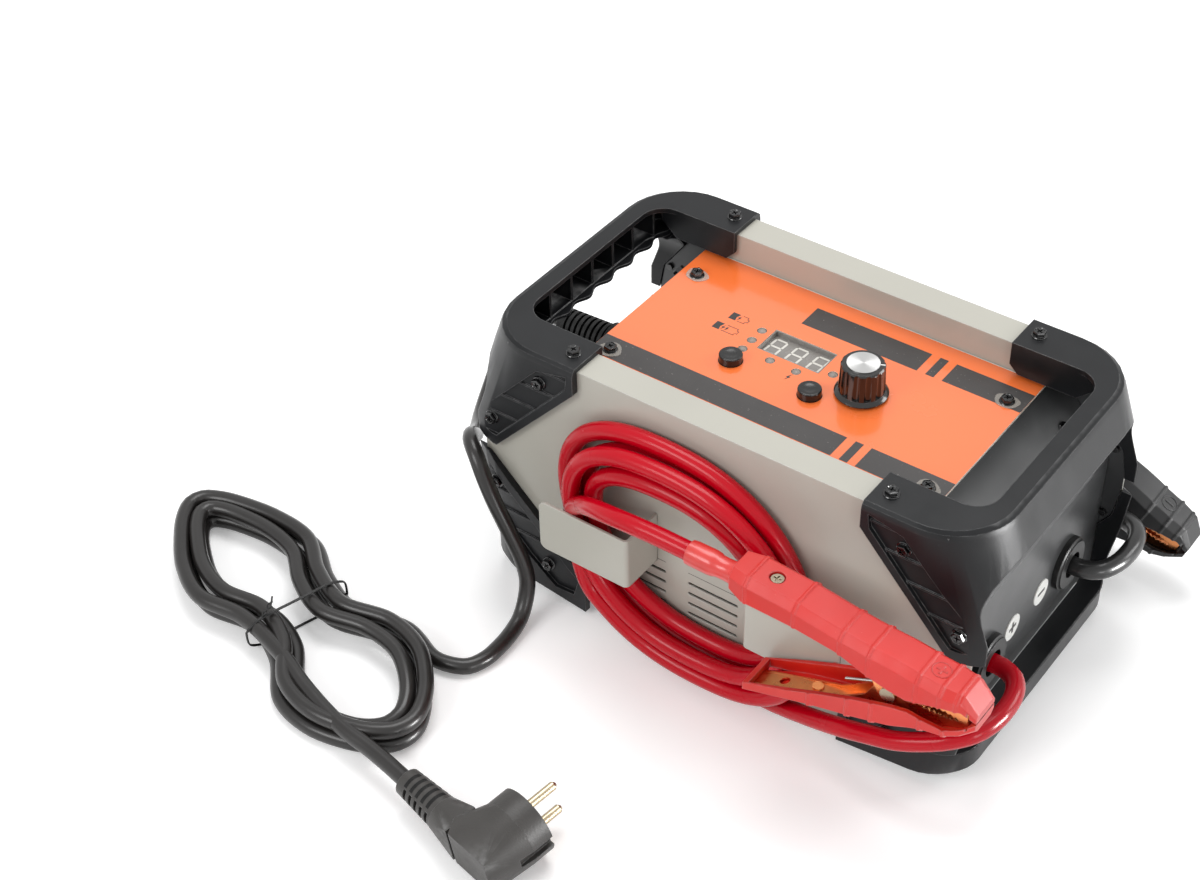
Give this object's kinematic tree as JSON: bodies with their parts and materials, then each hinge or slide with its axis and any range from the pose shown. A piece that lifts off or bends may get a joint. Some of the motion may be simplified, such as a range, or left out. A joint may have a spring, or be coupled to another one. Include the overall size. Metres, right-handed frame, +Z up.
{
  "type": "car battery charger",
  "caption": "Car battery charger in a grey steel case with black handle frames, an orange control panel, wound clamp leads on side hooks and a tied mains lead",
  "frame": {"origin": "on the ground under the middle of the case", "axes": "+X runs along the case to the end where the clamp leads leave, +Y to the back, +Z up"},
  "size_m": [0.4938, 0.4041, 0.1727],
  "materials": {
    "grey_sheet": "satin",
    "dark_sheet": "satin",
    "orange_panel": "satin",
    "frame_plastic": "matte",
    "black_rubber": "satin",
    "red_rubber": "gloss",
    "grey_rubber": "satin",
    "black_steel": "gloss",
    "window": "gloss",
    "board_green": "satin",
    "bright_steel": "gloss",
    "spun_metal": "satin",
    "device_black": "matte",
    "copper": "satin",
    "device_blue": "satin",
    "white_label": "matte",
    "red_grip": "satin",
    "black_grip": "satin"
  },
  "bodies": {
    "case": {"front_cover": "grey_sheet", "rear_cover": "grey_sheet", "base_tray": "dark_sheet", "right_end_plate": "dark_sheet", "left_end_plate": "dark_sheet", "control_plate": "orange_panel", "right_upper_frame": "frame_plastic", "left_upper_frame": "frame_plastic", "right_lower_frame": "frame_plastic", "left_lower_frame": "frame_plastic", "side_hooks": "grey_sheet", "rubber_feet": "black_rubber", "case_screws": "black_steel", "display_module": "window", "indicator_lamps": "window", "tact_switches": "device_black", "control_board": "board_green", "board_posts": "bright_steel", "potentiometer": "bright_steel", "main_board": "board_green", "transformer_core": "device_black", "transformer_winding": "copper", "heat_sink": "spun_metal", "rectifiers": "device_black", "capacitors": "device_blue", "relays": "device_blue", "output_terminals": "copper", "fan_frame": "device_black", "fan_bracket": "bright_steel", "red_grommet": "red_rubber", "black_grommet": "black_rubber", "polarity_discs": "white_label", "mains_boot": "black_rubber", "mains_cord": "grey_rubber", "mains_hank": "grey_rubber", "hank_tie": "black_steel", "mains_plug": "grey_rubber", "plug_pins": "bright_steel", "red_lead": "red_rubber", "red_coil": "red_rubber", "black_lead": "black_rubber", "black_coil": "black_rubber", "red_clamp_upper": "red_grip", "red_jaw_upper": "copper", "black_clamp_upper": "black_grip", "black_jaw_upper": "copper", "clamp_fasteners": "bright_steel", "lead_sleeves": "red_rubber"},
    "left_button": {"left_button": "black_rubber"},
    "right_button": {"right_button": "black_rubber"},
    "knob": {"knob_body": "black_rubber", "knob_cap": "spun_metal", "knob_shaft": "bright_steel"},
    "fan": {"fan_rotor": "device_black"},
    "red_clamp_half": {"red_clamp_lower": "red_grip", "red_jaw_lower": "copper", "red_spring": "bright_steel"},
    "black_clamp_half": {"black_clamp_lower": "black_grip", "black_jaw_lower": "copper", "black_spring": "bright_steel"}
  },
  "joints": [
    {"name": "knob_turn", "type": "hinge", "parent": "case", "child": "knob", "pos_m": [0.031, 0.0038, 0.17], "axis": [0, 0, 1], "range_deg": [-86, 214]},
    {"name": "left_button_press", "type": "slide", "parent": "case", "child": "left_button", "axis": [0, 0, -1], "range_m": [0, 0.0015], "stiffness_N_per_m": 400, "springref_m": -0.0005},
    {"name": "right_button_press", "type": "slide", "parent": "case", "child": "right_button", "axis": [0, 0, -1], "range_m": [0, 0.0015], "stiffness_N_per_m": 400, "springref_m": -0.0005},
    {"name": "fan_spin", "type": "hinge", "parent": "case", "child": "fan", "pos_m": [-0.112, 0, 0.0402], "axis": [1, 0, 0], "continuous": true},
    {"name": "red_clamp_open", "type": "hinge", "parent": "case", "child": "red_clamp_half", "pos_m": [0.1285, -0.122, 0.105], "axis": [0, 1, 0], "range_deg": [0, 28], "stiffness_Nm_per_rad": 0.8, "springref_deg": -20.05},
    {"name": "black_clamp_open", "type": "hinge", "parent": "case", "child": "black_clamp_half", "pos_m": [0.1313, 0.122, 0.0406], "axis": [0, 1, 0], "range_deg": [0, 28], "stiffness_Nm_per_rad": 0.8, "springref_deg": -20.05}
  ]
}
